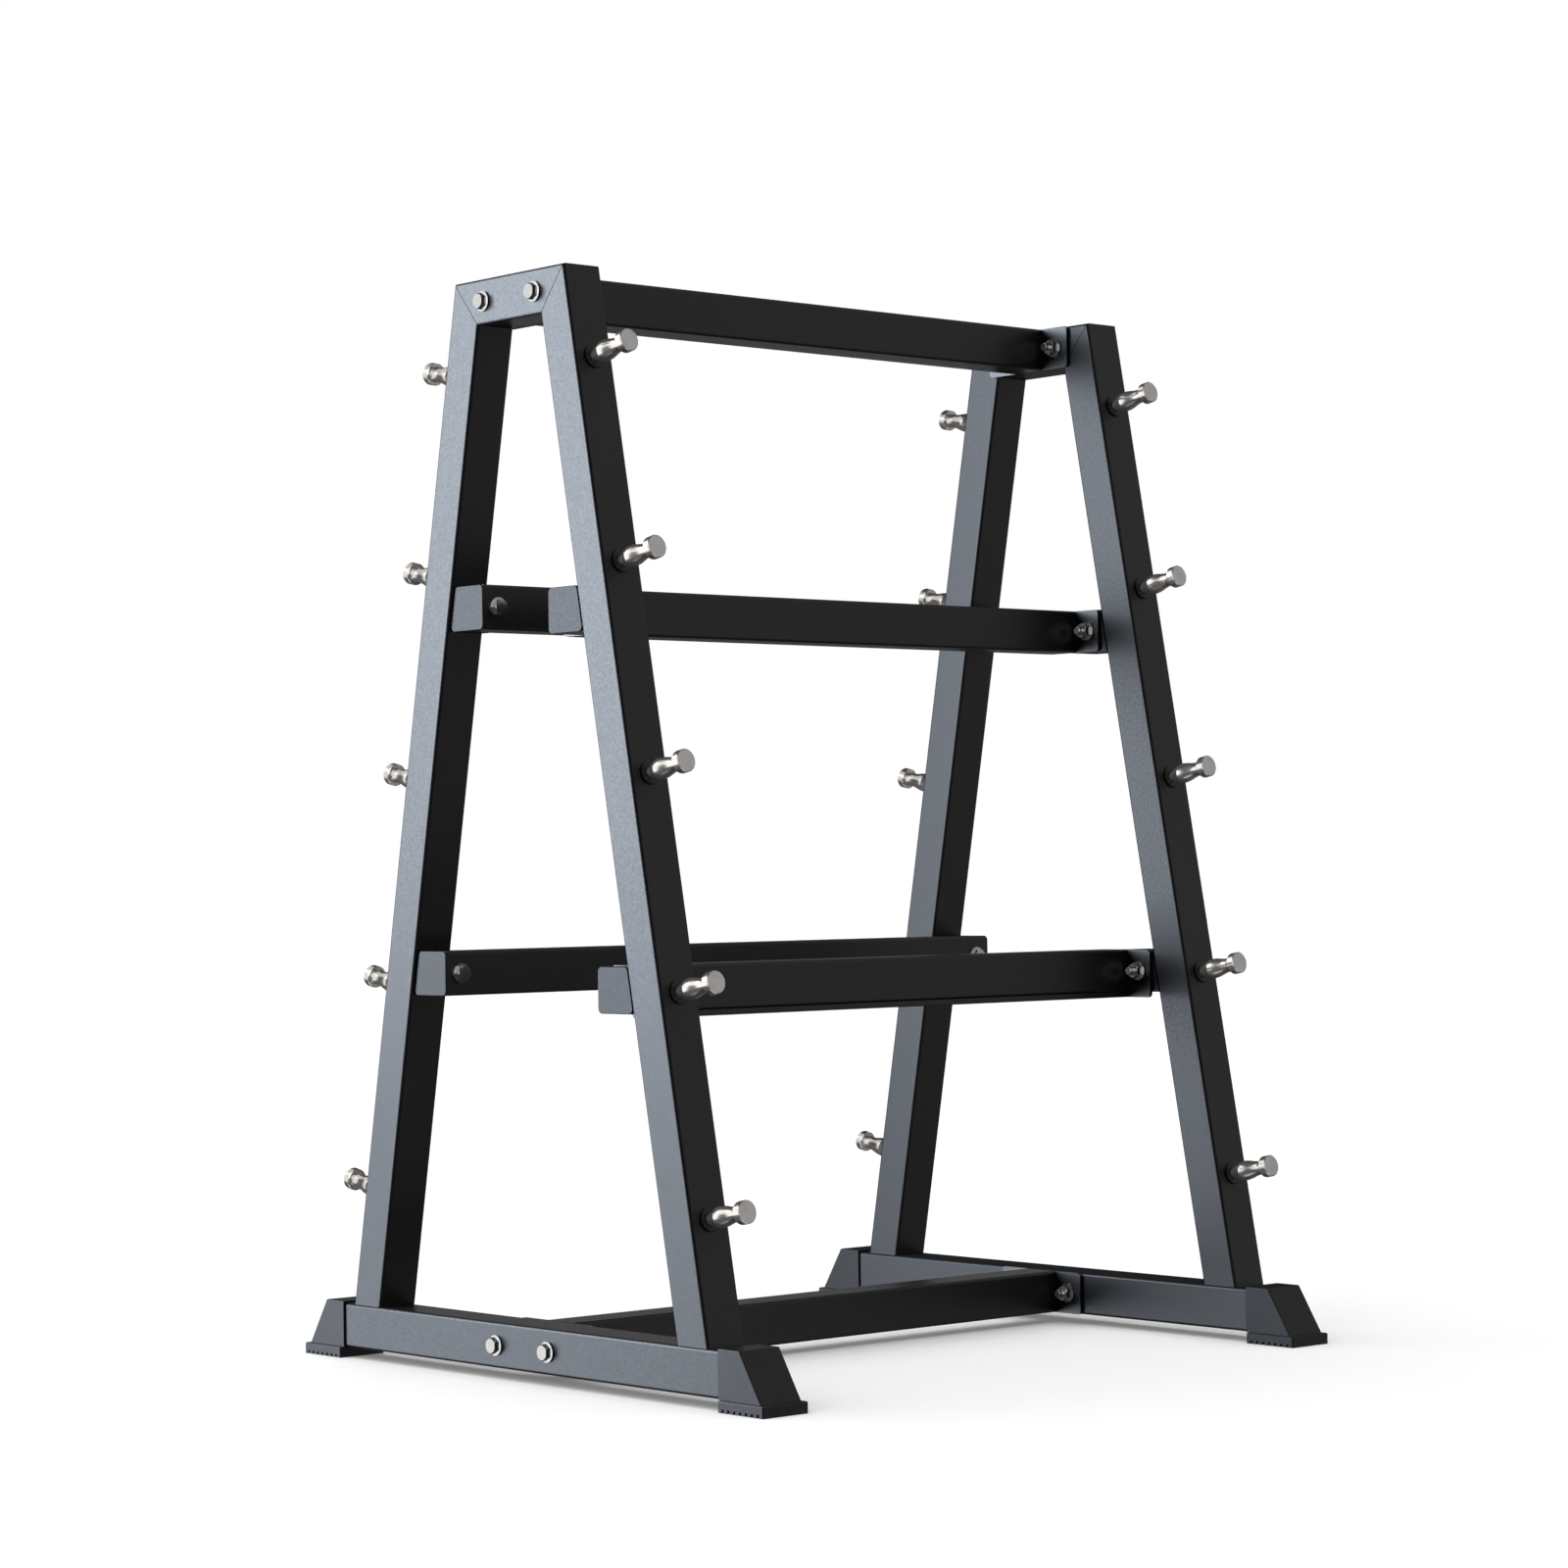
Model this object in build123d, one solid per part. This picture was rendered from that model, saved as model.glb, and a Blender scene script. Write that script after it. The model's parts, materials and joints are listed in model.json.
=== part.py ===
from build123d import *
import os
from math import cos, radians, tan

# Barbell rack: two welded A-frames joined by six square-tube rails, with turned
# pegs on the sloping legs. Millimetres, +Z up. X runs along the rails, -Y is the
# front. The origin is on the floor, in the middle of the rack.

# ---- driving dimensions -------------------------------------------------------
RACK_HEIGHT = 1450.0          # floor to the top of the top bars
RACK_LENGTH = 1020.0          # over the outer faces of the two A-frames
BASE_BAR_LENGTH = 798.0
TOP_WIDTH = 235.0             # front to back over the top corners of an A-frame
LEG_LEAN = 10.74              # degrees from vertical

TUBE = 60.0                   # square tube, outer size
TUBE_WALL = 3.0
TUBE_RADIUS = 4.0
SEAM_GROOVE = 0.7             # side of the square V-groove along a mitred seam

PAD_HEIGHT = 15.0             # rubber pad under each foot
PAD_SIZE = (74.0, 85.0)       # along X, along Y
PAD_RADIUS = 2.0
PAD_OUTER_Y = 488.0
GROOVE_COUNT = 7
GROOVE_PITCH = 11.0
GROOVE_WIDTH = 4.2
GROOVE_DEPTH = 4.5

CAP_STEP = 3.0                # foot cap stands this far proud of the base bar
CAP_SHOULDER = 41.0           # flat top of the foot cap, along Y
CAP_TOE = 81.0                # length of the foot cap at the pad
CAP_RADIUS = 1.5
PLUG_LENGTH = 25.0
PLUG_CLEARANCE = 0.25
PLUG_RADIUS = 1.5
PAD_BUTTON_RADIUS = 8.0
PAD_BUTTON_HEIGHT = 6.0
PAD_BUTTON_ROOM = 1.0         # air above the button

UPPER_FRONT_HEIGHT = 1004.0   # centre heights of the middle rails
UPPER_REAR_HEIGHT = 1018.0
LOWER_FRONT_HEIGHT = 514.5
LOWER_REAR_HEIGHT = 532.0
STIFFENER_HEIGHT = 8.0        # flat bar under the lower front rail's front edge
STIFFENER_DEPTH = 20.0        # from the rail's front face backwards
STIFFENER_RADIUS = 1.0

FLANGE_THICKNESS = 5.0
FLANGE_RADIUS = 6.0
BEAM_FLANGE_WIDTH = 160.0     # flange of the top and bottom beams, along Y
RAIL_FLANGE_REACH = 44.0      # front rail flange, forward of the rail's face
FLANGE_LEG_GAP = 0.5

END_RECESS = 5.0              # rail ends sit this far inside the outer faces
END_PLATE = 3.0
END_PLATE_RADIUS = 7.0
END_PLATE_EDGE = 1.2          # rounding of the outer rim
REAR_PLATE_GAP = 1.0          # end plate edge to leg
FRONT_PLATE_GAP = 5.5
STUB_OVERLAP = 21.0           # bracket stub reaches behind the rail's front face
STUB_END_WALL = 5.0
SADDLE_MIN = 1.5              # thin edge of the wedge behind a rear rail

PEG_COUNT = 5
TOP_PEG_HEIGHT = 1329.0       # peg axis at the leg's outer face
PEG_PITCH = 267.0             # from the top peg to the second
PEG_PITCH_STEP = 5.0          # each further pitch is longer by this
PEG_LENGTH = 74.0             # out of the leg's outer face
PEG_HEAD_RADIUS = 15.0
PEG_RIDGE_RADIUS = 13.8
PEG_WAIST_RADIUS = 9.8
PEG_STEM_RADIUS = 6.5          # at the leg, widening to the ridge
PEG_SPIGOT_LENGTH = 16.0
COLLAR_RADIUS = 15.5
COLLAR_THICKNESS = 3.0
COLLAR_FILLET = 1.2
COLLAR_CLEARANCE = 0.4

THREAD_RADIUS = 6.0           # M12
THREAD_CLEARANCE = 0.1
HOLE_RADIUS = 6.5
HEX_ACROSS_FLATS = 19.0
BOLT_HEAD_HEIGHT = 7.5
NUT_HEIGHT = 10.0
HEX_CHAMFER = 1.3
WASHER_RADIUS = 13.5
WASHER_THICKNESS = 2.5
BOLT_LENGTH = 90.0
STUD_TIP = 9.0                # thread showing beyond a nut
THREAD_CHAMFER = 1.0
BEAM_BOLT_SPREAD = 55.0       # from the rack's middle plane to a beam bolt

# ---- derived dimensions -------------------------------------------------------
SLOPE = tan(radians(LEG_LEAN))
LEAN_COS = cos(radians(LEG_LEAN))
HALF_TUBE = TUBE / 2
LEG_FACE_WIDTH = TUBE / LEAN_COS                 # leg face measured horizontally
FRAME_X = RACK_LENGTH / 2 - HALF_TUBE            # middle plane of an A-frame
INNER_X = RACK_LENGTH / 2 - TUBE                 # inner plane of an A-frame
FLANGE_X = INNER_X - FLANGE_THICKNESS
PLATE_X = RACK_LENGTH / 2 - END_RECESS           # outer face of the end plates
RAIL_END_X = PLATE_X - END_PLATE
TOP_BAR_HEIGHT = RACK_HEIGHT - HALF_TUBE
BASE_BAR_HEIGHT = PAD_HEIGHT + HALF_TUBE
BASE_BAR_TOP = PAD_HEIGHT + TUBE
BASE_BAR_END = BASE_BAR_LENGTH / 2
PAD_MIDDLE_Y = PAD_OUTER_Y - PAD_SIZE[1] / 2
HEX_CORNER_RADIUS = HEX_ACROSS_FLATS / 2 / cos(radians(30))


def outer_y(height):
    """Distance of a leg's outer face from the middle plane at a height."""
    return TOP_WIDTH / 2 + SLOPE * (RACK_HEIGHT - height)


def inner_y(height):
    """Distance of a leg's inner face from the middle plane at a height."""
    return outer_y(height) - LEG_FACE_WIDTH


def peg_heights():
    heights = [TOP_PEG_HEIGHT]
    for step in range(PEG_COUNT - 1):
        heights.append(heights[-1] - PEG_PITCH - PEG_PITCH_STEP * step)
    return heights


def rear_rail_middle_y(height):
    """Rear rail axis: its back face just clears the leg at the rail's top edge."""
    return inner_y(height + HALF_TUBE) - SADDLE_MIN - HALF_TUBE


def front_rail_face_y(height):
    """Front face of a front rail, as a distance forward of the middle plane."""
    return inner_y(height + HALF_TUBE) - FLANGE_LEG_GAP - RAIL_FLANGE_REACH


def front_bolt_y(height):
    return front_rail_face_y(height) + RAIL_FLANGE_REACH / 2


# ---- small shape helpers ------------------------------------------------------
def along_x(solid):
    return Rot(0, 90, 0) * solid


def along_y(solid):
    return Rot(-90, 0, 0) * solid


def both_sides(solids):
    """The given left-hand solids, and their mirror images on the right."""
    return Compound(list(solids) + [mirror(solid, Plane.YZ) for solid in solids])


def square_tube(length):
    """Hollow square tube along Z, centred on the origin."""
    inside = TUBE - 2 * TUBE_WALL
    section = RectangleRounded(TUBE, TUBE, TUBE_RADIUS)
    section -= RectangleRounded(inside, inside, TUBE_RADIUS - TUBE_WALL)
    return extrude(section, amount=length / 2, both=True)


def keep_above(solid, plane):
    return split(solid, bisect_by=plane, keep=Keep.TOP)


def hexagon(height):
    """Hexagon along +Z with the corners of its far end bevelled."""
    prism = extrude(RegularPolygon(HEX_ACROSS_FLATS / 2, 6, major_radius=False), amount=height)
    round_bar = Pos(0, 0, height / 2) * Cylinder(HEX_CORNER_RADIUS, height)
    far_edge = round_bar.edges().sort_by(Axis.Z)[-1]
    return prism & chamfer(far_edge, HEX_CHAMFER)


def hex_bolt(length):
    """Hexagon-head bolt: the head is above Z = 0 and the shank below it."""
    shank = Pos(0, 0, -length / 2) * Cylinder(THREAD_RADIUS, length)
    tip = shank.edges().sort_by(Axis.Z)[0]
    return hexagon(BOLT_HEAD_HEIGHT) + chamfer(tip, THREAD_CHAMFER)


def washer():
    """Flat washer standing on Z = 0."""
    disc = Cylinder(WASHER_RADIUS, WASHER_THICKNESS) - Cylinder(HOLE_RADIUS, WASHER_THICKNESS)
    return Pos(0, 0, WASHER_THICKNESS / 2) * disc


def nut():
    """Hexagon nut standing on Z = 0."""
    bore = Cylinder(THREAD_RADIUS + THREAD_CLEARANCE, 3 * NUT_HEIGHT)
    return hexagon(NUT_HEIGHT) - bore


def bolt_hole(length):
    return Cylinder(HOLE_RADIUS, length)


# ---- A-frames -----------------------------------------------------------------
def inner_corner(side):
    return Vector(0, side * inner_y(RACK_HEIGHT - TUBE), RACK_HEIGHT - TUBE)


def mitre_plane(side):
    """Weld plane at a top corner, facing the leg. side is +1 rear, -1 front."""
    corner = Vector(0, side * TOP_WIDTH / 2, RACK_HEIGHT)
    seam = corner - inner_corner(side)
    facing = Vector(0, side * seam.Z, -side * seam.Y)
    return Plane(origin=corner, x_dir=(1, 0, 0), z_dir=facing)


def seam_grooves(side):
    """Shallow V-grooves along a corner's weld seam, on both faces of the A-frame."""
    corner = Vector(0, side * TOP_WIDTH / 2, RACK_HEIGHT)
    seam = Plane(origin=corner, x_dir=(1, 0, 0), z_dir=corner - inner_corner(side))
    square_bar = Rot(0, 0, 45) * Box(SEAM_GROOVE, SEAM_GROOVE, 3 * TUBE)
    return [seam * Pos(x, 0, 0) * square_bar for x in (-HALF_TUBE, HALF_TUBE)]


def on_leg(height, side):
    """Place on a leg's outer face at a height, with local +Z square to the face."""
    face_point = Pos(0, side * outer_y(height), height)
    return face_point * Rot(-side * (90 - LEG_LEAN), 0, 0)


def leg(side):
    """Sloping leg, in its A-frame's own middle plane."""
    top = on_leg(RACK_HEIGHT, side) * Pos(0, 0, -HALF_TUBE)
    uncut = 2 * (RACK_HEIGHT / LEAN_COS + TUBE)
    body = top * Rot(90, 0, 0) * square_tube(uncut)
    body = keep_above(body, Plane.XY.offset(BASE_BAR_TOP))
    body = keep_above(body, mitre_plane(side)) - seam_grooves(side)
    for height in peg_heights():
        body -= on_leg(height, side) * bolt_hole(4 * TUBE_WALL)
    return body


def rear_leg():
    """Rear leg: its inner wall is drilled for the two rear rail bolts."""
    body = leg(+1)
    for height in (UPPER_REAR_HEIGHT, LOWER_REAR_HEIGHT):
        body -= Pos(0, inner_y(height), height) * along_y(bolt_hole(8 * TUBE_WALL))
    return body


def top_bar():
    body = Pos(0, 0, TOP_BAR_HEIGHT) * along_y(square_tube(2 * TOP_WIDTH))
    for side in (+1, -1):
        leg_cut = mitre_plane(side)
        bar_cut = Plane(leg_cut.origin, x_dir=(1, 0, 0), z_dir=-leg_cut.z_dir)
        body = keep_above(body, bar_cut) - seam_grooves(side)
    return drill_for_beam(body, TOP_BAR_HEIGHT)


def base_bar():
    body = Pos(0, 0, BASE_BAR_HEIGHT) * along_y(square_tube(BASE_BAR_LENGTH))
    return drill_for_beam(body, BASE_BAR_HEIGHT)


def drill_for_beam(bar, height):
    for side in (+1, -1):
        bar -= Pos(0, side * BEAM_BOLT_SPREAD, height) * along_x(bolt_hole(2 * TUBE))
    return bar


# ---- beams and rails ----------------------------------------------------------
def beam(height):
    """Middle beam between the two A-frames, on the rack's middle plane."""
    return Pos(0, 0, height) * along_x(square_tube(2 * FLANGE_X))


def flange_plate(outline, hole_offsets):
    """Left-hand end flange with its outer face on the left A-frame."""
    plate = Plane.YZ.offset(-INNER_X) * extrude(outline, amount=FLANGE_THICKNESS)
    for offset in hole_offsets:
        plate -= Pos(-INNER_X, offset, 0) * along_x(bolt_hole(4 * FLANGE_THICKNESS))
    return plate


def beam_flange(height):
    outline = RectangleRounded(BEAM_FLANGE_WIDTH, TUBE, FLANGE_RADIUS)
    return Pos(0, 0, height) * flange_plate(outline, (BEAM_BOLT_SPREAD, -BEAM_BOLT_SPREAD))


def front_rail(height):
    middle_y = HALF_TUBE - front_rail_face_y(height)
    return Pos(0, middle_y, height) * along_x(square_tube(2 * FLANGE_X))


def lower_front_stiffener():
    """Flat bar welded under the front edge of the lower front rail."""
    middle_y = STIFFENER_DEPTH / 2 - front_rail_face_y(LOWER_FRONT_HEIGHT)
    middle_z = LOWER_FRONT_HEIGHT - HALF_TUBE - STIFFENER_HEIGHT / 2
    bar = Box(2 * FLANGE_X, STIFFENER_DEPTH, STIFFENER_HEIGHT)
    bar = fillet(bar.edges().filter_by(Axis.X), STIFFENER_RADIUS)
    return Pos(0, middle_y, middle_z) * bar


def front_flange(height, stiffened):
    """Flange cut to a front rail's outline, with a reach in front for its bolt."""
    width = TUBE + RAIL_FLANGE_REACH
    middle_y = width / 2 - front_rail_face_y(height) - RAIL_FLANGE_REACH
    outline = RectangleRounded(width, TUBE, FLANGE_RADIUS)
    if stiffened:
        front = RectangleRounded(RAIL_FLANGE_REACH + STIFFENER_DEPTH, TUBE + STIFFENER_HEIGHT, FLANGE_RADIUS)
        outline += Pos((STIFFENER_DEPTH - TUBE) / 2, -STIFFENER_HEIGHT / 2) * front
    plate = flange_plate(outline, (-front_bolt_y(height) - middle_y,))
    return Pos(0, middle_y, height) * plate


def rear_rail(height):
    """Full-length rear rail, drilled front to back at each leg."""
    middle_y = rear_rail_middle_y(height)
    body = Pos(0, middle_y, height) * along_x(square_tube(2 * RAIL_END_X))
    for frame_x in (-FRAME_X, FRAME_X):
        body -= Pos(frame_x, middle_y, height) * along_y(bolt_hole(2 * TUBE))
    return body


def leg_side_outline(height, free_y, leg_gap, side):
    """YZ outline from a vertical edge at free_y to the leg's sloping inner face."""
    top = height + HALF_TUBE
    bottom = height - HALF_TUBE
    points = [
        (side * free_y, bottom),
        (side * free_y, top),
        (side * (inner_y(top) - leg_gap), top),
        (side * (inner_y(bottom) - leg_gap), bottom),
    ]
    return make_face(Polyline(*points, close=True))


def rounded_corners(outline, radius, leg_corners):
    """Rounds the free-edge corners, and the leg-side ones where asked."""
    corners = outline.vertices().sort_by(lambda vertex: abs(vertex.X))
    return fillet(corners if leg_corners else corners[:2], radius)


def slab(outline, near_x, far_x):
    """Extrudes a YZ outline, drawn as (y, z), from near_x to far_x."""
    return Plane.YZ.offset(near_x) * extrude(outline, amount=far_x - near_x)


def end_plate(height, free_y, leg_gap, side):
    """Left-hand plate that closes the end of a rear rail or of a stub."""
    outline = leg_side_outline(height, free_y, leg_gap, side)
    plate = slab(rounded_corners(outline, END_PLATE_RADIUS, True), -PLATE_X, -RAIL_END_X)
    rim = plate.faces().sort_by(Axis.X)[0].edges()
    return fillet(rim, END_PLATE_EDGE)


def rear_end_plate(height):
    free_y = rear_rail_middle_y(height) - HALF_TUBE
    return end_plate(height, free_y, REAR_PLATE_GAP, +1)


def saddle(height):
    """Wedge between a rear rail's back face and the leg, on the left."""
    back_y = rear_rail_middle_y(height) + HALF_TUBE
    wedge = slab(leg_side_outline(height, back_y, 0, +1), -RAIL_END_X, -INNER_X)
    return wedge - Pos(-FRAME_X, back_y, height) * along_y(bolt_hole(TUBE))


def stub(height):
    """Left-hand bracket stub: a cup welded to a front leg's inner face."""
    free_y = front_rail_face_y(height) - STUB_OVERLAP
    outline = rounded_corners(leg_side_outline(height, free_y, 0, -1), TUBE_RADIUS, False)
    cavity = offset(outline, amount=-TUBE_WALL)
    body = slab(outline, -RAIL_END_X, -INNER_X) - slab(cavity, -RAIL_END_X, -INNER_X - STUB_END_WALL)
    stud_hole = along_x(Cylinder(THREAD_RADIUS + THREAD_CLEARANCE, 4 * STUB_END_WALL))
    return body - Pos(-INNER_X, -front_bolt_y(height), height) * stud_hole


def stub_end_plate(height):
    free_y = front_rail_face_y(height) - STUB_OVERLAP
    return end_plate(height, free_y, FRONT_PLATE_GAP, -1)


# ---- pegs ---------------------------------------------------------------------
def peg():
    """Turned peg along +Z: conical stem, ridge, waist for the bar, round head."""
    ridge_start = 0.31 * PEG_LENGTH
    ridge_end = 0.34 * PEG_LENGTH
    waist = 0.71 * PEG_LENGTH
    head_start = 0.84 * PEG_LENGTH
    leaving_ridge = (-0.1, 1)
    reaching_head = (0.4, 1)
    edge = 1.0
    outline = Polyline(
        (0, -PEG_SPIGOT_LENGTH),
        (THREAD_RADIUS - edge, -PEG_SPIGOT_LENGTH),
        (THREAD_RADIUS, edge - PEG_SPIGOT_LENGTH),
        (THREAD_RADIUS, 0),
        (PEG_STEM_RADIUS, 0),
        (PEG_STEM_RADIUS, COLLAR_THICKNESS),
        (PEG_RIDGE_RADIUS, ridge_start),
        (PEG_RIDGE_RADIUS, ridge_end),
    )
    belly = Spline(
        (PEG_RIDGE_RADIUS, ridge_end),
        (PEG_WAIST_RADIUS, waist),
        (PEG_WAIST_RADIUS + edge, head_start),
        tangents=[leaving_ridge, reaching_head],
    )
    head = Polyline(
        (PEG_WAIST_RADIUS + edge, head_start),
        (PEG_HEAD_RADIUS - edge, head_start),
        (PEG_HEAD_RADIUS, head_start + edge),
        (PEG_HEAD_RADIUS, PEG_LENGTH - edge),
        (PEG_HEAD_RADIUS - edge, PEG_LENGTH),
        (0, PEG_LENGTH),
        (0, -PEG_SPIGOT_LENGTH),
    )
    section = make_face(Plane.XZ * (outline + belly + head))
    return revolve(section, axis=Axis.Z)


def collar():
    """Round boss between a peg and the leg."""
    disc = Pos(0, 0, COLLAR_THICKNESS / 2) * Cylinder(COLLAR_RADIUS, COLLAR_THICKNESS)
    disc = fillet(disc.edges().sort_by(Axis.Z)[-1], COLLAR_FILLET)
    return disc - Cylinder(PEG_STEM_RADIUS + COLLAR_CLEARANCE, 4 * COLLAR_THICKNESS)


def weld_nut():
    """Nut inside the leg wall that holds a peg's spigot."""
    return Pos(0, 0, -TUBE_WALL) * Rot(180, 0, 0) * nut()


def on_every_peg_place(solid, frame_x, side):
    return [Pos(frame_x, 0, 0) * on_leg(height, side) * solid for height in peg_heights()]


# ---- feet ---------------------------------------------------------------------
def foot_cap():
    """Rear-left moulded cap: a wedge with a plug that fills the base bar's end."""
    outline = Polyline(
        (BASE_BAR_END, PAD_HEIGHT),
        (BASE_BAR_END, BASE_BAR_TOP + CAP_STEP),
        (BASE_BAR_END + CAP_SHOULDER, BASE_BAR_TOP + CAP_STEP),
        (BASE_BAR_END + CAP_TOE, PAD_HEIGHT),
        close=True,
    )
    half_width = HALF_TUBE + CAP_STEP
    wedge = slab(make_face(outline), -FRAME_X - half_width, -FRAME_X + half_width)
    upper_edges = wedge.edges().filter_by(lambda edge: edge.center().Z > PAD_HEIGHT + CAP_RADIUS)
    wedge = fillet(upper_edges, CAP_RADIUS)
    plug_size = TUBE - 2 * TUBE_WALL - 2 * PLUG_CLEARANCE
    plug_section = RectangleRounded(plug_size, plug_size, PLUG_RADIUS)
    plug = along_y(extrude(plug_section, amount=PLUG_LENGTH, both=True))
    wedge += Pos(-FRAME_X, BASE_BAR_END, BASE_BAR_HEIGHT) * plug
    button_room = Cylinder(PAD_BUTTON_RADIUS + PLUG_CLEARANCE, 2 * (PAD_BUTTON_HEIGHT + PAD_BUTTON_ROOM))
    return wedge - Pos(-FRAME_X, PAD_MIDDLE_Y, PAD_HEIGHT) * button_room


def foot_pad():
    """Rear-left rubber pad with grooves across its sole and a locating button."""
    block = Box(PAD_SIZE[0], PAD_SIZE[1], PAD_HEIGHT)
    block = fillet(block.edges().filter_by(Axis.Z) + block.faces().sort_by(Axis.Z)[-1].edges(), PAD_RADIUS)
    for index in range(GROOVE_COUNT):
        offset_y = GROOVE_PITCH * (index - (GROOVE_COUNT - 1) / 2)
        block -= Pos(0, offset_y, -PAD_HEIGHT / 2) * Box(2 * PAD_SIZE[0], GROOVE_WIDTH, 2 * GROOVE_DEPTH)
    block += Pos(0, 0, (PAD_HEIGHT + PAD_BUTTON_HEIGHT) / 2) * Cylinder(PAD_BUTTON_RADIUS, PAD_BUTTON_HEIGHT)
    return Pos(-FRAME_X, PAD_MIDDLE_Y, PAD_HEIGHT / 2) * block


# ---- fasteners ----------------------------------------------------------------
def beam_places():
    """Left-hand bolt axes of the top and bottom beams."""
    places = []
    for height in (TOP_BAR_HEIGHT, BASE_BAR_HEIGHT):
        for side in (+1, -1):
            places.append(Pos(0, side * BEAM_BOLT_SPREAD, height))
    return places


def facing_out(solid, x):
    """Puts a solid made along +Z at x, pointing to the left."""
    return Pos(x, 0, 0) * Rot(0, -90, 0) * solid


def facing_in(solid, x):
    """Puts a solid made along +Z at x, pointing to the right."""
    return Pos(x, 0, 0) * Rot(0, 90, 0) * solid


def beam_fasteners():
    """Left-hand bolts, outer washers, inner washers and nuts, as four lists."""
    outer_x = -RACK_LENGTH / 2
    bolts = [place * facing_out(hex_bolt(BOLT_LENGTH), outer_x - WASHER_THICKNESS) for place in beam_places()]
    outer = [place * facing_out(washer(), outer_x) for place in beam_places()]
    inner = [place * facing_in(washer(), -FLANGE_X) for place in beam_places()]
    nuts = [place * facing_in(nut(), -FLANGE_X + WASHER_THICKNESS) for place in beam_places()]
    return bolts, outer + inner, nuts


def front_rail_fasteners():
    """Left-hand weld studs, washers and nuts of the two front rails."""
    studs = []
    washers = []
    nuts = []
    stud_length = STUB_END_WALL + FLANGE_THICKNESS + WASHER_THICKNESS + NUT_HEIGHT + STUD_TIP
    for height in (UPPER_FRONT_HEIGHT, LOWER_FRONT_HEIGHT):
        place = Pos(0, -front_bolt_y(height), height)
        stud = Pos(0, 0, stud_length / 2) * Cylinder(THREAD_RADIUS, stud_length)
        stud = chamfer(stud.edges().sort_by(Axis.Z)[-1], THREAD_CHAMFER)
        studs.append(place * facing_in(stud, -INNER_X - STUB_END_WALL))
        washers.append(place * facing_in(washer(), -FLANGE_X))
        nuts.append(place * facing_in(nut(), -FLANGE_X + WASHER_THICKNESS))
    return studs, washers, nuts


def rear_rail_fasteners():
    """Left-hand bolts, washers and weld nuts of the two rear rails."""
    bolts = []
    washers = []
    weld_nuts = []
    for height in (UPPER_REAR_HEIGHT, LOWER_REAR_HEIGHT):
        face_y = rear_rail_middle_y(height) - HALF_TUBE
        face = Pos(-FRAME_X, face_y, height)
        bolts.append(face * Rot(90, 0, 0) * Pos(0, 0, WASHER_THICKNESS) * hex_bolt(BOLT_LENGTH))
        washers.append(face * Rot(90, 0, 0) * washer())
        inside_wall_y = inner_y(height) + TUBE_WALL / LEAN_COS + HEX_CORNER_RADIUS * SLOPE
        weld_nuts.append(Pos(-FRAME_X, inside_wall_y, height) * along_y(nut()))
    return bolts, washers, weld_nuts


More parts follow.
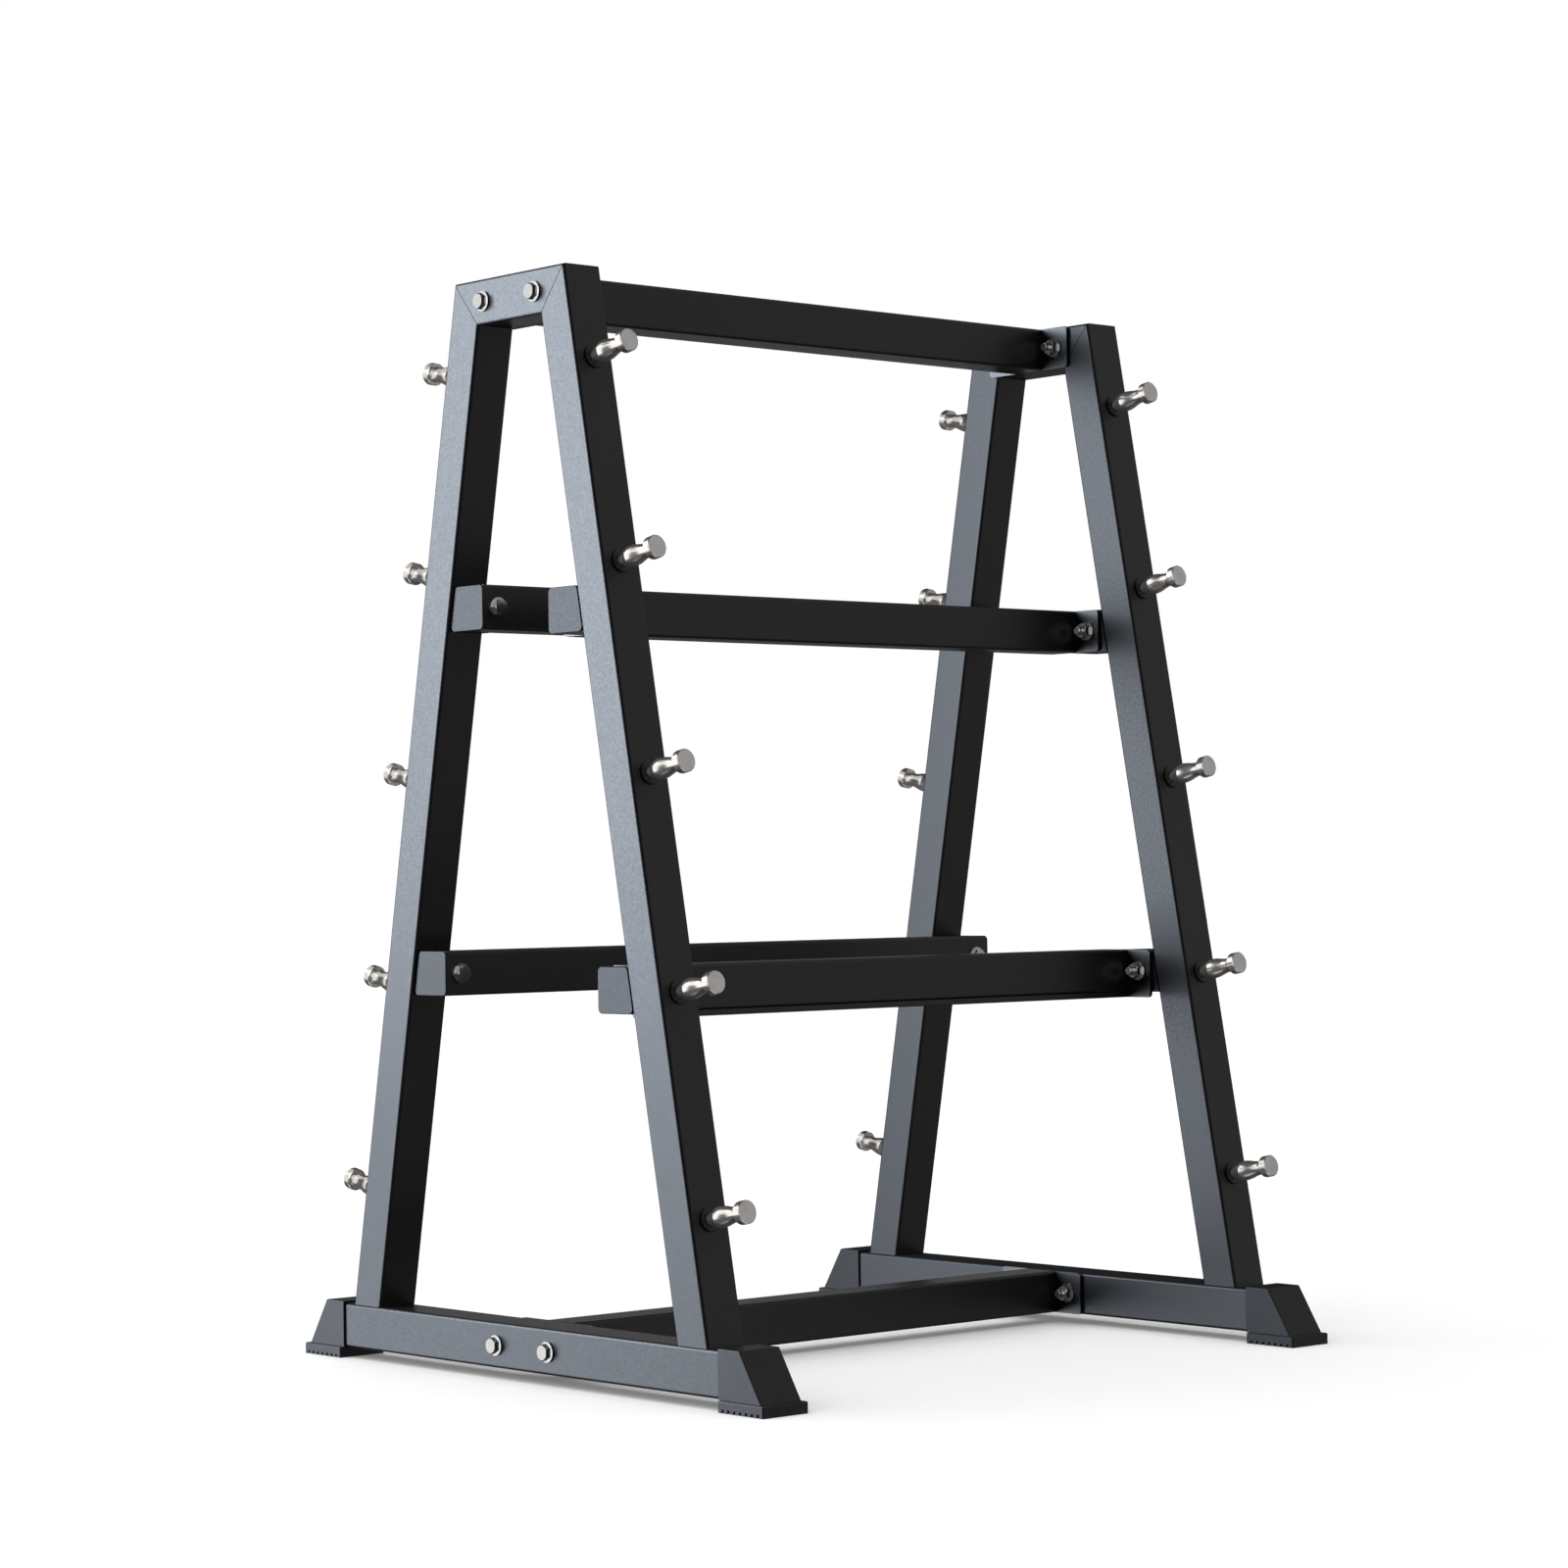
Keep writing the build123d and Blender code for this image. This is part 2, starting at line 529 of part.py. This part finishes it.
# ---- the whole rack -----------------------------------------------------------
def build_nodes():
    nodes = {}
    shared_left_parts = {
        "front_leg": leg(-1),
        "rear_leg": rear_leg(),
        "top_bar": top_bar(),
        "base_bar": base_bar(),
    }
    for name, body in shared_left_parts.items():
        nodes["left_" + name] = Pos(-FRAME_X, 0, 0) * body
        nodes["right_" + name] = Pos(FRAME_X, 0, 0) * body

    nodes["top_beam"] = beam(TOP_BAR_HEIGHT)
    nodes["bottom_beam"] = beam(BASE_BAR_HEIGHT)
    nodes["upper_front_rail"] = front_rail(UPPER_FRONT_HEIGHT)
    nodes["lower_front_rail"] = front_rail(LOWER_FRONT_HEIGHT)
    nodes["lower_front_stiffener"] = lower_front_stiffener()
    nodes["upper_rear_rail"] = rear_rail(UPPER_REAR_HEIGHT)
    nodes["lower_rear_rail"] = rear_rail(LOWER_REAR_HEIGHT)

    mirrored_parts = {
        "top_beam_flange": beam_flange(TOP_BAR_HEIGHT),
        "bottom_beam_flange": beam_flange(BASE_BAR_HEIGHT),
        "upper_front_flange": front_flange(UPPER_FRONT_HEIGHT, False),
        "lower_front_flange": front_flange(LOWER_FRONT_HEIGHT, True),
        "upper_stub": stub(UPPER_FRONT_HEIGHT),
        "lower_stub": stub(LOWER_FRONT_HEIGHT),
    }
    for name, body in mirrored_parts.items():
        nodes["left_" + name] = body
        nodes["right_" + name] = mirror(body, Plane.YZ)

    nodes["upper_stub_end_plates"] = both_sides([stub_end_plate(UPPER_FRONT_HEIGHT)])
    nodes["lower_stub_end_plates"] = both_sides([stub_end_plate(LOWER_FRONT_HEIGHT)])
    nodes["upper_rear_end_plates"] = both_sides([rear_end_plate(UPPER_REAR_HEIGHT)])
    nodes["lower_rear_end_plates"] = both_sides([rear_end_plate(LOWER_REAR_HEIGHT)])
    nodes["upper_rear_saddles"] = both_sides([saddle(UPPER_REAR_HEIGHT)])
    nodes["lower_rear_saddles"] = both_sides([saddle(LOWER_REAR_HEIGHT)])

    cap = foot_cap()
    pad = foot_pad()
    for name, body in (("foot_cap", cap), ("foot_pad", pad)):
        nodes["left_rear_" + name] = body
        nodes["right_rear_" + name] = mirror(body, Plane.YZ)
        nodes["left_front_" + name] = mirror(body, Plane.XZ)
        nodes["right_front_" + name] = mirror(mirror(body, Plane.XZ), Plane.YZ)

    collars = []
    weld_nuts = []
    for side_name, side in (("front", -1), ("rear", +1)):
        for end_name, frame_x in (("left", -FRAME_X), ("right", FRAME_X)):
            pegs = on_every_peg_place(peg(), frame_x, side)
            nodes[end_name + "_" + side_name + "_pegs"] = Compound(pegs)
            collars += on_every_peg_place(collar(), frame_x, side)
            weld_nuts += on_every_peg_place(weld_nut(), frame_x, side)
    nodes["peg_collars"] = Compound(collars)
    nodes["peg_weld_nuts"] = Compound(weld_nuts)

    bolts, washers, nuts = beam_fasteners()
    nodes["beam_bolts"] = both_sides(bolts)
    nodes["beam_washers"] = both_sides(washers)
    nodes["beam_nuts"] = both_sides(nuts)
    studs, washers, nuts = front_rail_fasteners()
    nodes["front_rail_studs"] = both_sides(studs)
    nodes["front_rail_washers"] = both_sides(washers)
    nodes["front_rail_nuts"] = both_sides(nuts)
    bolts, washers, nuts = rear_rail_fasteners()
    nodes["rear_rail_bolts"] = both_sides(bolts)
    nodes["rear_rail_washers"] = both_sides(washers)
    nodes["rear_rail_weld_nuts"] = both_sides(nuts)
    return nodes


os.makedirs("parts", exist_ok=True)
for node_name, shape in build_nodes().items():
    export_step(shape, "parts/" + node_name + ".step")
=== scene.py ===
import json
from math import cos, pi, radians, sin

import bpy
from mathutils import Matrix, Vector

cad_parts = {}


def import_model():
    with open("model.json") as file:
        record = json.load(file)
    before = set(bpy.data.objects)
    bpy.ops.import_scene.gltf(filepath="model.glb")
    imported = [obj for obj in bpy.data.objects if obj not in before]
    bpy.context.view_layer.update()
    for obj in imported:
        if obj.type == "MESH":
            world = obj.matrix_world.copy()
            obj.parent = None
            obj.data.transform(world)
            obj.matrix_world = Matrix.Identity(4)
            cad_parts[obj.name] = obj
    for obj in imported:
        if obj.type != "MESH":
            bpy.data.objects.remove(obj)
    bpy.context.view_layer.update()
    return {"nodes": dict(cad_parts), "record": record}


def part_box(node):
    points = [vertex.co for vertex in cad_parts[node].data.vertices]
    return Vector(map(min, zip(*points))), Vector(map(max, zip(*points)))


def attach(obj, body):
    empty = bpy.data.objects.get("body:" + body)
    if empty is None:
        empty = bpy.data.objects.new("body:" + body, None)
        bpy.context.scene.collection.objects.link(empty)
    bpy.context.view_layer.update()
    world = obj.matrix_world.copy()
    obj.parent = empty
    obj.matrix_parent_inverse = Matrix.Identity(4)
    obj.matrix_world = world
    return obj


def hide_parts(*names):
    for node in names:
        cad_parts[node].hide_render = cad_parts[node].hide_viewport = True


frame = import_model()

# ---- driving values, in metres and degrees -------------------------------------
CAMERA_PLACE = Vector((-3.648, -4.117, 0.663))
CAMERA_TURN = 41.2           # from +Y towards +X
CAMERA_TILT = 0.744          # above the horizon
CAMERA_ROLL = -0.775
CAMERA_LENS = 90.76          # both in millimetres
CAMERA_SENSOR = 36.0
CAMERA_SHIFT = (0.0004, 0.0229)
CAMERA_REACH = 100.0

LEG_LEAN = 10.74
PEG_LENGTH = 0.074           # out of the leg
PEG_SPIGOT_LENGTH = 0.016    # inside the leg
PEG_SPIGOT_RADIUS = 0.006
PEG_STEM_RADIUS = 0.0065
PEG_STEM_END = 0.003
PEG_RIDGE_RADIUS = 0.0138
PEG_RIDGE = (0.31 * PEG_LENGTH, 0.34 * PEG_LENGTH)
PEG_WAIST_RADIUS = 0.0098
PEG_WAIST = 0.71 * PEG_LENGTH
PEG_HEAD_RADIUS = 0.015
PEG_HEAD = 0.84 * PEG_LENGTH
PEG_EDGE = 0.001
PEG_SIDES = 48
PEG_SHARP_ANGLE = 20
BELLY_STEPS = 12

NUT_HEIGHT = 0.010           # M12 nut
WASHER_RADIUS = 0.0135
THREAD_PITCH = 0.00175
THREAD_ROOT = 0.0057         # just inside the plain tip
THREAD_CREST = 0.0064
THREAD_START = 0.6           # in pitches, from the nut to the first ridge
THREAD_HALF_WIDTH = 0.45     # in pitches
THREAD_TURN_STEPS = 20
THREAD_STEPS = 68

NOISE_MIDDLE = (0.35, 0.65)  # range of a noise over which a colour changes

FLOOR_HALF = 30.0
FLOOR_WHITE = 0.9
FLOOR_EMISSION = 0.15

SKY_LEVEL = 0.03             # brightness of the dim room above and below the horizon
GROUND_LEVEL = 0.10
HORIZON = (-0.1, 0.05)       # height of the view direction, from all ground to all sky
FRONT_GLOW = 0.41            # soft patch in front, seen in the faces towards -Y
FRONT_GLOW_WAY = Vector((0.60, -0.68, 0.50)).normalized()
FRONT_GLOW_START = 0.4       # cosine of the angle at which the patch begins
FLOOR_SUN = (3.5, 110, Vector((0.55, -0.40, -1.0)))     # strength, width, direction
FILL_SUN = (0.5, 80, Vector((0, 0, -1)))
SKY_BLUE = (0.80, 0.88, 1.0)
WARM = (1.0, 0.98, 0.95)
SOFTBOXES = {                # place, target, size, colour
    "key": ((-2.75, 2.35, 1.85), (-0.4, 0, 1.5), (2.0, 2.9), SKY_BLUE),
    "wide": ((-2.8, 2.2, 1.8), (0.2, 0, 1.3), (2.4, 3.2), SKY_BLUE),
    "low": ((-2.6, 2.4, -0.3), (0, 0, 0.4), (2.2, 1.4), SKY_BLUE),
    "metal": ((-2.6, 2.3, 1.2), (0, 0, 1.0), (2.4, 4.0), WARM),
    "near": ((-3.2, -3.2, 2.0), (0, 0, 0.8), (5.0, 4.5), WARM),
    "under": ((-0.5, -1.5, -3.0), (0, 0, 0.8), (5.0, 5.0), WARM),
    "far": ((3.6, 4.0, 1.2), (0, 0, 0.3), (4.0, 1.8), WARM),
    "behind": ((-0.9, 3.0, 2.9), (0, 0, 0.8), (3.2, 2.2), WARM),
}
SHARES = {                   # softbox brightness for each group of pieces
    "left": {"key": 11.5, "low": 5.0, "far": 0.27},
    "ears": {"key": 6.7, "low": 4.2},
    "right": {"wide": 7.7, "low": 4.0},
    "flanges": {"wide": 16.0, "low": 7.0},
    "front_pegs": {"metal": 1.7, "behind": 1.6, "near": 1.15, "under": 0.55},
    "rear_pegs": {"metal": 1.2, "behind": 0.9, "near": 2.0, "under": 0.9},
    "bolts": {"metal": 1.3, "near": 0.55},
    "washers": {"metal": 1.5, "near": 0.7},
    "nuts": {"metal": 3.0, "low": 1.5, "near": 0.9},
}
METAL_GROUPS = ("front_pegs", "rear_pegs", "bolts", "washers", "nuts")   # shadowed by themselves alone


# ---- node helpers ---------------------------------------------------------------
def new_material(name):
    material = bpy.data.materials.new(name)
    material.use_nodes = True
    nodes = material.node_tree.nodes
    return material, nodes, material.node_tree.links, nodes["Principled BSDF"]


def set_inputs(node, **values):
    """Sets a node's inputs, named with _ for each space."""
    for key, value in values.items():
        node.inputs[key.replace("_", " ")].default_value = value


def grey(value):
    return (value, value, value)


def noise(nodes, links, scale, detail=3.0):
    """Noise in the object's own coordinates, scale in cycles per metre."""
    place = nodes.new("ShaderNodeTexCoord")
    texture = nodes.new("ShaderNodeTexNoise")
    set_inputs(texture, Scale=scale, Detail=detail)
    links.new(place.outputs["Object"], texture.inputs["Vector"])
    return texture.outputs["Fac"]


def vary(nodes, links, socket, pattern, low, high):
    """A socket goes from colour low to high over the noise's middle range."""
    mapping = nodes.new("ShaderNodeValToRGB")
    for end, position, colour in zip(mapping.color_ramp.elements, NOISE_MIDDLE, (low, high)):
        end.position = position
        end.color = (*colour, 1)
    links.new(pattern, mapping.inputs["Fac"])
    links.new(mapping.outputs["Color"], socket)


def bump(nodes, links, height, strength, distance, below=None):
    node = nodes.new("ShaderNodeBump")
    set_inputs(node, Strength=strength, Distance=distance)
    links.new(height, node.inputs["Height"])
    if below is not None:
        links.new(below, node.inputs["Normal"])
    return node.outputs["Normal"]


# ---- materials ------------------------------------------------------------------
def powder_coat():
    """Satin black with faint orange peel and a finer grain."""
    material, nodes, links, shader = new_material("powder_coat")
    set_inputs(shader, IOR=1.5, Specular_IOR_Level=0.5)
    tone = noise(nodes, links, scale=9.0)
    vary(nodes, links, shader.inputs["Base Color"], tone, (0.0075, 0.008, 0.009), (0.0105, 0.011, 0.012))
    gloss = noise(nodes, links, scale=260.0, detail=2.0)
    vary(nodes, links, shader.inputs["Roughness"], gloss, grey(0.34), grey(0.40))
    peel = noise(nodes, links, scale=420.0, detail=2.0)
    grain = noise(nodes, links, scale=1500.0, detail=1.0)
    coarse = bump(nodes, links, peel, strength=0.02, distance=0.0008)
    fine = bump(nodes, links, grain, strength=0.06, distance=0.0003, below=coarse)
    links.new(fine, shader.inputs["Normal"])
    return material


def chrome():
    """Polished turned metal."""
    material, nodes, links, shader = new_material("peg_chrome")
    set_inputs(shader, Metallic=0.88)
    tone = noise(nodes, links, scale=60.0)
    vary(nodes, links, shader.inputs["Base Color"], tone, (0.60, 0.585, 0.57), (0.68, 0.665, 0.65))
    gloss = noise(nodes, links, scale=1800.0)
    vary(nodes, links, shader.inputs["Roughness"], gloss, grey(0.21), grey(0.24))
    return material


def zinc():
    """Bright zinc plate, a little cloudy."""
    material, nodes, links, shader = new_material("zinc_plate")
    set_inputs(shader, Metallic=1.0)
    tone = noise(nodes, links, scale=300.0)
    vary(nodes, links, shader.inputs["Base Color"], tone, (0.46, 0.47, 0.48), (0.56, 0.57, 0.58))
    gloss = noise(nodes, links, scale=700.0)
    vary(nodes, links, shader.inputs["Roughness"], gloss, grey(0.10), grey(0.18))
    return material


def bare_steel():
    material, nodes, links, shader = new_material("bare_steel")
    set_inputs(shader, Metallic=1.0)
    tone = noise(nodes, links, scale=400.0)
    vary(nodes, links, shader.inputs["Base Color"], tone, grey(0.30), grey(0.46))
    return material


def cap_plastic():
    """Moulded black plastic with a fine grain."""
    material, nodes, links, shader = new_material("cap_plastic")
    set_inputs(shader, Specular_IOR_Level=0.42)
    tone = noise(nodes, links, scale=20.0)
    vary(nodes, links, shader.inputs["Base Color"], tone, grey(0.008), grey(0.012))
    gloss = noise(nodes, links, scale=500.0)
    vary(nodes, links, shader.inputs["Roughness"], gloss, grey(0.42), grey(0.50))
    grain = noise(nodes, links, scale=1100.0)
    links.new(bump(nodes, links, grain, strength=0.15, distance=0.0003), shader.inputs["Normal"])
    return material


def pad_rubber():
    material, nodes, links, shader = new_material("pad_rubber")
    tone = noise(nodes, links, scale=60.0)
    vary(nodes, links, shader.inputs["Base Color"], tone, grey(0.008), grey(0.014))
    gloss = noise(nodes, links, scale=700.0)
    vary(nodes, links, shader.inputs["Roughness"], gloss, grey(0.46), grey(0.58))
    return material


MATERIALS = {
    "powder_coat": powder_coat(),
    "peg_chrome": chrome(),
    "zinc_plate": zinc(),
    "bare_steel": bare_steel(),
    "cap_plastic": cap_plastic(),
    "pad_rubber": pad_rubber(),
}


def dress_cad_nodes():
    for subpart in frame["record"]["subparts"]:
        node = frame["nodes"][subpart["node"]]
        node.data.materials.clear()
        node.data.materials.append(MATERIALS[subpart["material_slot"]])


def add_piece(name, shapes, slot):
    """One object from several (points, faces), riding on the rack."""
    points, faces = [], []
    for more_points, more_faces in shapes:
        faces += [tuple(len(points) + corner for corner in face) for face in more_faces]
        points += more_points
    mesh = bpy.data.meshes.new(name)
    mesh.from_pydata(points, [], faces)
    mesh.materials.append(MATERIALS[slot])
    piece = bpy.data.objects.new(name, mesh)
    bpy.context.scene.collection.objects.link(piece)
    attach(piece, "root")
    return piece


# ---- turned pegs -----------------------------------------------------------------
def peg_outline():
    """Radius and place along the axis, from the spigot to the flat end of the head."""
    outline = [
        (PEG_SPIGOT_RADIUS - PEG_EDGE, -PEG_SPIGOT_LENGTH),
        (PEG_SPIGOT_RADIUS, PEG_EDGE - PEG_SPIGOT_LENGTH),
        (PEG_SPIGOT_RADIUS, 0.0),
        (PEG_STEM_RADIUS, 0.0),
        (PEG_STEM_RADIUS, PEG_STEM_END),
        (PEG_RIDGE_RADIUS, PEG_RIDGE[0]),
        (PEG_RIDGE_RADIUS, PEG_RIDGE[1]),
    ]
    shares = [step / BELLY_STEPS for step in range(1, BELLY_STEPS + 1)]
    for share in shares:
        radius = PEG_WAIST_RADIUS + (PEG_RIDGE_RADIUS - PEG_WAIST_RADIUS) * (1 + cos(pi * share)) / 2
        outline.append((radius, PEG_RIDGE[1] + (PEG_WAIST - PEG_RIDGE[1]) * share))
    for share in shares:
        radius = PEG_WAIST_RADIUS + PEG_EDGE * share ** 2
        outline.append((radius, PEG_WAIST + (PEG_HEAD - PEG_WAIST) * share))
    return outline + [
        (PEG_HEAD_RADIUS - PEG_EDGE, PEG_HEAD),
        (PEG_HEAD_RADIUS, PEG_HEAD + PEG_EDGE),
        (PEG_HEAD_RADIUS, PEG_LENGTH - PEG_EDGE),
        (PEG_HEAD_RADIUS - PEG_EDGE, PEG_LENGTH),
    ]


def turned_peg(rest, x):
    """Points and faces of the peg under a bar rest, with its axis in the plane at x."""
    side = 1 if rest.y > 0 else -1
    lean = radians(LEG_LEAN)
    axis = Vector((0, side * cos(lean), sin(lean)))
    across = Vector((-side, 0, 0))
    up = Vector((0, -side * sin(lean), cos(lean)))
    foot = Vector((x, rest.y, rest.z)) - PEG_WAIST_RADIUS * up - PEG_WAIST * axis
    outline = peg_outline()
    points, faces = [], []
    for radius, along in outline:
        for spoke in range(PEG_SIDES):
            angle = 2 * pi * spoke / PEG_SIDES
            points.append(foot + along * axis + radius * (cos(angle) * across + sin(angle) * up))
    for ring in range(len(outline) - 1):
        start = ring * PEG_SIDES
        for spoke in range(PEG_SIDES):
            here, beside = start + spoke, start + (spoke + 1) % PEG_SIDES
            faces.append((here, beside, beside + PEG_SIDES, here + PEG_SIDES))
    faces.append(tuple(reversed(range(PEG_SIDES))))
    faces.append(tuple(range(len(points) - PEG_SIDES, len(points))))
    return points, faces


def turned_pegs():
    """Finely turned pegs in place of the coarser CAD ones, a piece for each leg."""
    pieces = []
    for side in ("left", "right"):
        for face in ("front", "rear"):
            node = side + "_" + face + "_pegs"
            low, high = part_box(node)
            mounts = frame["record"]["mounts"]
            rests = [Vector(m["pos_m"]) for m in mounts if m["name"].startswith(face + "_bar_rest")]
            pegs = [turned_peg(rest, (low.x + high.x) / 2) for rest in rests]
            piece = add_piece("turned_" + node, pegs, "peg_chrome")
            piece.data.shade_smooth()
            piece.data.set_sharp_from_angle(angle=radians(PEG_SHARP_ANGLE))
            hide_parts(node)
            pieces.append(piece)
    return pieces


# ---- threads on the bolt and stud tips -------------------------------------------
def tip_places():
    """Where each tip on the +X side leaves its nut."""
    low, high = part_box("beam_washers")
    spread = high.y - WASHER_RADIUS
    heights = (low.z + WASHER_RADIUS, high.z - WASHER_RADIUS)
    nut_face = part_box("beam_nuts")[1].x - NUT_HEIGHT
    places = [(nut_face, side * spread, height) for height in heights for side in (-1, 1)]
    low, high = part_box("front_rail_washers")
    nut_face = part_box("front_rail_nuts")[1].x - NUT_HEIGHT
    places.append((nut_face, low.y + WASHER_RADIUS, low.z + WASHER_RADIUS))
    places.append((nut_face, high.y - WASHER_RADIUS, high.z - WASHER_RADIUS))
    return places


def thread(place, side):
    """Points and faces of one right-hand ridge wound around a tip, away from its nut."""
    x, y, z = place
    profile = ((THREAD_ROOT, -THREAD_HALF_WIDTH), (THREAD_CREST, 0), (THREAD_ROOT, THREAD_HALF_WIDTH))
    points, faces = [], [(2, 1, 0)]
    for step in range(THREAD_STEPS + 1):
        turns = step / THREAD_TURN_STEPS
        angle = -side * 2 * pi * turns
        for radius, shift in profile:
            along = x - THREAD_PITCH * (THREAD_START + turns - shift)
            points.append((side * along, y + radius * cos(angle), z + radius * sin(angle)))
    for here in range(3 * THREAD_STEPS):
        across = here - 2 if here % 3 == 2 else here + 1
        faces.append((here, across, across + 3, here + 3))
    last = 3 * THREAD_STEPS
    faces.append((last, last + 1, last + 2))
    return points, faces


def tip_threads():
    """Thread ridges on the twelve tips that show beyond their nuts."""
    shapes = [thread(place, side) for place in tip_places() for side in (-1, 1)]
    return add_piece("tip_threads", shapes, "zinc_plate")


# ---- stage ----------------------------------------------------------------------
def floor():
    """White plane that the object neither reflects nor takes light from."""
    corners = [(x * FLOOR_HALF, y * FLOOR_HALF, 0) for x, y in ((-1, -1), (1, -1), (1, 1), (-1, 1))]
    mesh = bpy.data.meshes.new("floor")
    mesh.from_pydata(corners, [], [(0, 1, 2, 3)])
    plane = bpy.data.objects.new("floor", mesh)
    bpy.context.scene.collection.objects.link(plane)
    material, _, _, shader = new_material("floor_white")
    set_inputs(shader, Base_Color=(*grey(FLOOR_WHITE), 1), Roughness=1.0, Specular_IOR_Level=0.0)
    set_inputs(shader, Emission_Color=(1, 1, 1, 1), Emission_Strength=FLOOR_EMISSION)
    mesh.materials.append(material)
    plane.visible_glossy = False
    plane.visible_diffuse = False
    plane.visible_shadow = False
    return plane


def front_glow(nodes, links):
    """Soft patch of light that fades in as the view turns towards the front."""
    place = nodes.new("ShaderNodeTexCoord")
    dot = nodes.new("ShaderNodeVectorMath")
    dot.operation = "DOT_PRODUCT"
    dot.inputs[1].default_value = FRONT_GLOW_WAY
    links.new(place.outputs["Generated"], dot.inputs[0])
    fade = nodes.new("ShaderNodeMapRange")
    fade.interpolation_type = "SMOOTHSTEP"
    set_inputs(fade, From_Min=FRONT_GLOW_START, From_Max=1.0, To_Min=0.0, To_Max=FRONT_GLOW)
    links.new(dot.outputs["Value"], fade.inputs["Value"])
    patch = nodes.new("ShaderNodeBackground")
    set_inputs(patch, Color=(1, 1, 1, 1))
    links.new(fade.outputs["Result"], patch.inputs["Strength"])
    return patch


def world():
    """Plain white where the camera looks; a dim room with a soft front elsewhere."""
    studio = bpy.data.worlds.new("studio")
    bpy.context.scene.world = studio
    studio.use_nodes = True
    nodes = studio.node_tree.nodes
    links = studio.node_tree.links
    dim = nodes["Background"]
    set_inputs(dim, Color=(1, 1, 1, 1))
    place = nodes.new("ShaderNodeTexCoord")
    height = nodes.new("ShaderNodeSeparateXYZ")
    links.new(place.outputs["Generated"], height.inputs["Vector"])
    level = nodes.new("ShaderNodeMapRange")
    set_inputs(level, From_Min=HORIZON[0], From_Max=HORIZON[1], To_Min=GROUND_LEVEL, To_Max=SKY_LEVEL)
    links.new(height.outputs["Z"], level.inputs["Value"])
    links.new(level.outputs["Result"], dim.inputs["Strength"])
    room = nodes.new("ShaderNodeAddShader")
    links.new(dim.outputs["Background"], room.inputs[0])
    links.new(front_glow(nodes, links).outputs["Background"], room.inputs[1])
    white = nodes.new("ShaderNodeBackground")
    set_inputs(white, Color=(1, 1, 1, 1))
    path = nodes.new("ShaderNodeLightPath")
    mix = nodes.new("ShaderNodeMixShader")
    links.new(path.outputs["Is Camera Ray"], mix.inputs["Fac"])
    links.new(room.outputs["Shader"], mix.inputs[1])
    links.new(white.outputs["Background"], mix.inputs[2])
    links.new(mix.outputs["Shader"], nodes["World Output"].inputs["Surface"])


# ---- lights ---------------------------------------------------------------------
def add_lamp(name, light, way, members):
    """A lamp that faces a direction, and the collection of the only objects that it lights."""
    lamp = bpy.data.objects.new(name, light)
    lamp.rotation_euler = way.to_track_quat("-Z", "Y").to_euler()
    bpy.context.scene.collection.objects.link(lamp)
    receivers = bpy.data.collections.new(name + "_light")
    for member in members:
        receivers.objects.link(member)
    lamp.light_linking.receiver_collection = receivers
    return lamp, receivers


def softbox(group, box, members):
    """Rectangular light for one group, aimed at its target with the group's own brightness."""
    place, target, size, colour = SOFTBOXES[box]
    name = group + "_" + box
    light = bpy.data.lights.new(name, "AREA")
    light.shape = "RECTANGLE"
    light.size, light.size_y = size
    light.energy = SHARES[group][box] * size[0] * size[1] * pi
    light.color = colour
    lamp, receivers = add_lamp(name, light, Vector(target) - Vector(place), members)
    lamp.location = place
    lamp.visible_camera = False
    if group in METAL_GROUPS:
        lamp.light_linking.blocker_collection = receivers


def sun(name, strength, width, way, members):
    """Broad light from a direction, width in degrees."""
    light = bpy.data.lights.new(name, "SUN")
    light.energy = strength
    light.angle = radians(width)
    add_lamp(name, light, way, members)


def group_of(name, slot):
    """The group of pieces that a CAD node shares its softboxes with."""
    if name == "beam_bolts":
        return "bolts"
    if name.endswith("_washers"):
        return "washers"
    if slot in ("zinc_plate", "bare_steel"):
        return "nuts"
    if name.endswith("end_plates"):
        return "ears"
    if name.endswith("_flange"):
        return "flanges"
    return "right" if name.startswith("right_") else "left"


def softboxes(pegs, threads):
    """Each group's softboxes, which light that group alone."""
    groups = {group: [] for group in SHARES}
    for subpart in frame["record"]["subparts"]:
        name, slot = subpart["node"], subpart["material_slot"]
        if slot != "peg_chrome":
            groups[group_of(name, slot)].append(frame["nodes"][name])
    groups["front_pegs"] = [piece for piece in pegs if "front" in piece.name]
    groups["rear_pegs"] = [piece for piece in pegs if "rear" in piece.name]
    groups["nuts"].append(threads)
    for group, members in groups.items():
        for box in SHARES[group]:
            softbox(group, box, members)


def camera():
    data = bpy.data.cameras.new("camera")
    data.lens = CAMERA_LENS
    data.sensor_width = CAMERA_SENSOR
    data.shift_x, data.shift_y = CAMERA_SHIFT
    data.clip_end = CAMERA_REACH
    eye = bpy.data.objects.new("camera", data)
    bpy.context.scene.collection.objects.link(eye)
    turn = Matrix.Rotation(radians(-CAMERA_TURN), 4, "Z")
    tilt = Matrix.Rotation(radians(90 + CAMERA_TILT), 4, "X")
    roll = Matrix.Rotation(radians(CAMERA_ROLL), 4, "Z")
    eye.matrix_world = Matrix.Translation(CAMERA_PLACE) @ turn @ tilt @ roll
    bpy.context.scene.camera = eye


dress_cad_nodes()
plane = floor()
world()
softboxes(turned_pegs(), tip_threads())
sun("floor_sun", *FLOOR_SUN, [plane])
sun("fill", *FILL_SUN, list(frame["nodes"].values()))
camera()
bpy.context.scene.view_settings.view_transform = "Standard"
